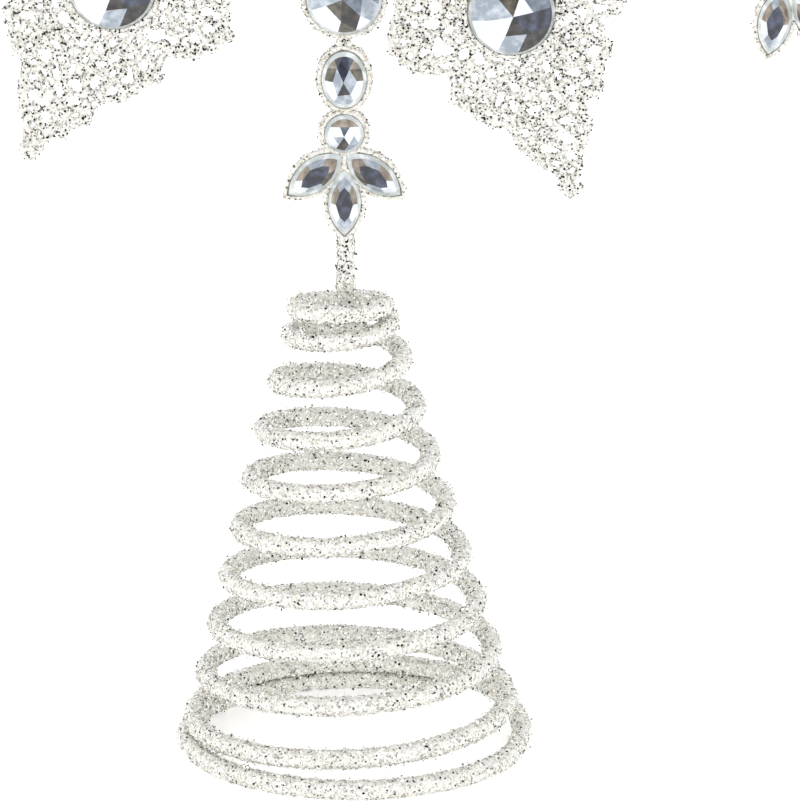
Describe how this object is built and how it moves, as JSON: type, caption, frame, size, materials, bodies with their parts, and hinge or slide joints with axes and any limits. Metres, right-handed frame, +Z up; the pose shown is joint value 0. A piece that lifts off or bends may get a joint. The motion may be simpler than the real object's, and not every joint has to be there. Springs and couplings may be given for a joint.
{
  "type": "snowflake tree topper",
  "caption": "Jewelled glitter snowflake tree topper on a conical coil-spring foot that slips over a tree's leader or stands on a table.",
  "frame": {"origin": "centre of the foot's bottom coil, on the surface that it stands on", "axes": "+Z up the stem, -Y out of the snowflake's front, where the gems are"},
  "size_m": [0.321, 0.0802, 0.4417],
  "materials": {
    "glittered_wire": "satin",
    "glittered_setting": "satin",
    "glittered_lace": "satin",
    "acrylic_gem": "gloss"
  },
  "bodies": {
    "foot": {"spring_base_ring": "glittered_wire", "spring_lower_coils": "glittered_wire"},
    "middle_coils": {"spring_middle_coils": "glittered_wire"},
    "upper_coils": {"spring_upper_coils": "glittered_wire"},
    "snowflake": {"spring_crown": "glittered_wire", "stem_rod": "glittered_wire", "hub_plate": "glittered_setting", "hub_gem": "acrylic_gem", "hub_petal_gems": "acrylic_gem", "arm_1_setting": "glittered_setting", "arm_1_small_gems": "acrylic_gem", "arm_1_large_gem": "acrylic_gem", "arm_2_setting": "glittered_setting", "arm_2_small_gems": "acrylic_gem", "arm_2_large_gem": "acrylic_gem", "arm_3_setting": "glittered_setting", "arm_3_small_gems": "acrylic_gem", "arm_3_large_gem": "acrylic_gem", "arm_4_setting": "glittered_setting", "arm_4_small_gems": "acrylic_gem", "arm_4_large_gem": "acrylic_gem", "arm_5_setting": "glittered_setting", "arm_5_small_gems": "acrylic_gem", "arm_5_large_gem": "acrylic_gem", "arm_6_setting": "glittered_setting", "arm_6_small_gems": "acrylic_gem", "arm_6_large_gem": "acrylic_gem", "arm_7_setting": "glittered_setting", "arm_7_small_gems": "acrylic_gem", "arm_7_large_gem": "acrylic_gem", "arm_8_setting": "glittered_setting", "arm_8_small_gems": "acrylic_gem", "arm_8_large_gem": "acrylic_gem", "leaf_1_lace": "glittered_lace", "leaf_1_wire": "glittered_wire", "leaf_1_gem": "acrylic_gem", "leaf_2_lace": "glittered_lace", "leaf_2_wire": "glittered_wire", "leaf_2_gem": "acrylic_gem", "leaf_3_lace": "glittered_lace", "leaf_3_wire": "glittered_wire", "leaf_3_gem": "acrylic_gem", "leaf_4_lace": "glittered_lace", "leaf_4_wire": "glittered_wire", "leaf_4_gem": "acrylic_gem", "leaf_5_lace": "glittered_lace", "leaf_5_wire": "glittered_wire", "leaf_5_gem": "acrylic_gem", "leaf_6_lace": "glittered_lace", "leaf_6_wire": "glittered_wire", "leaf_6_gem": "acrylic_gem", "leaf_7_lace": "glittered_lace", "leaf_7_wire": "glittered_wire", "leaf_7_gem": "acrylic_gem", "leaf_8_lace": "glittered_lace", "leaf_8_wire": "glittered_wire", "leaf_8_gem": "acrylic_gem"}
  },
  "joints": [
    {"name": "spring_compress", "type": "slide", "parent": "foot", "child": "middle_coils", "axis": [0, 0, 1], "range_m": [-0.012, 0], "stiffness_N_per_m": 400, "springref_m": 0.008, "deforming": ["spring_lower_coils"]},
    {"name": "spring_nod", "type": "hinge", "parent": "middle_coils", "child": "upper_coils", "pos_m": [-0.0019, 0, 0.0573], "axis": [1, 0, 0], "range_deg": [-12, 12], "stiffness_Nm_per_rad": 2.5, "deforming": ["spring_middle_coils"]},
    {"name": "spring_sway", "type": "hinge", "parent": "upper_coils", "child": "snowflake", "pos_m": [-0.0025, 0, 0.0811], "axis": [0, 1, 0], "range_deg": [-12, 12], "stiffness_Nm_per_rad": 2.5, "deforming": ["spring_upper_coils"]}
  ]
}
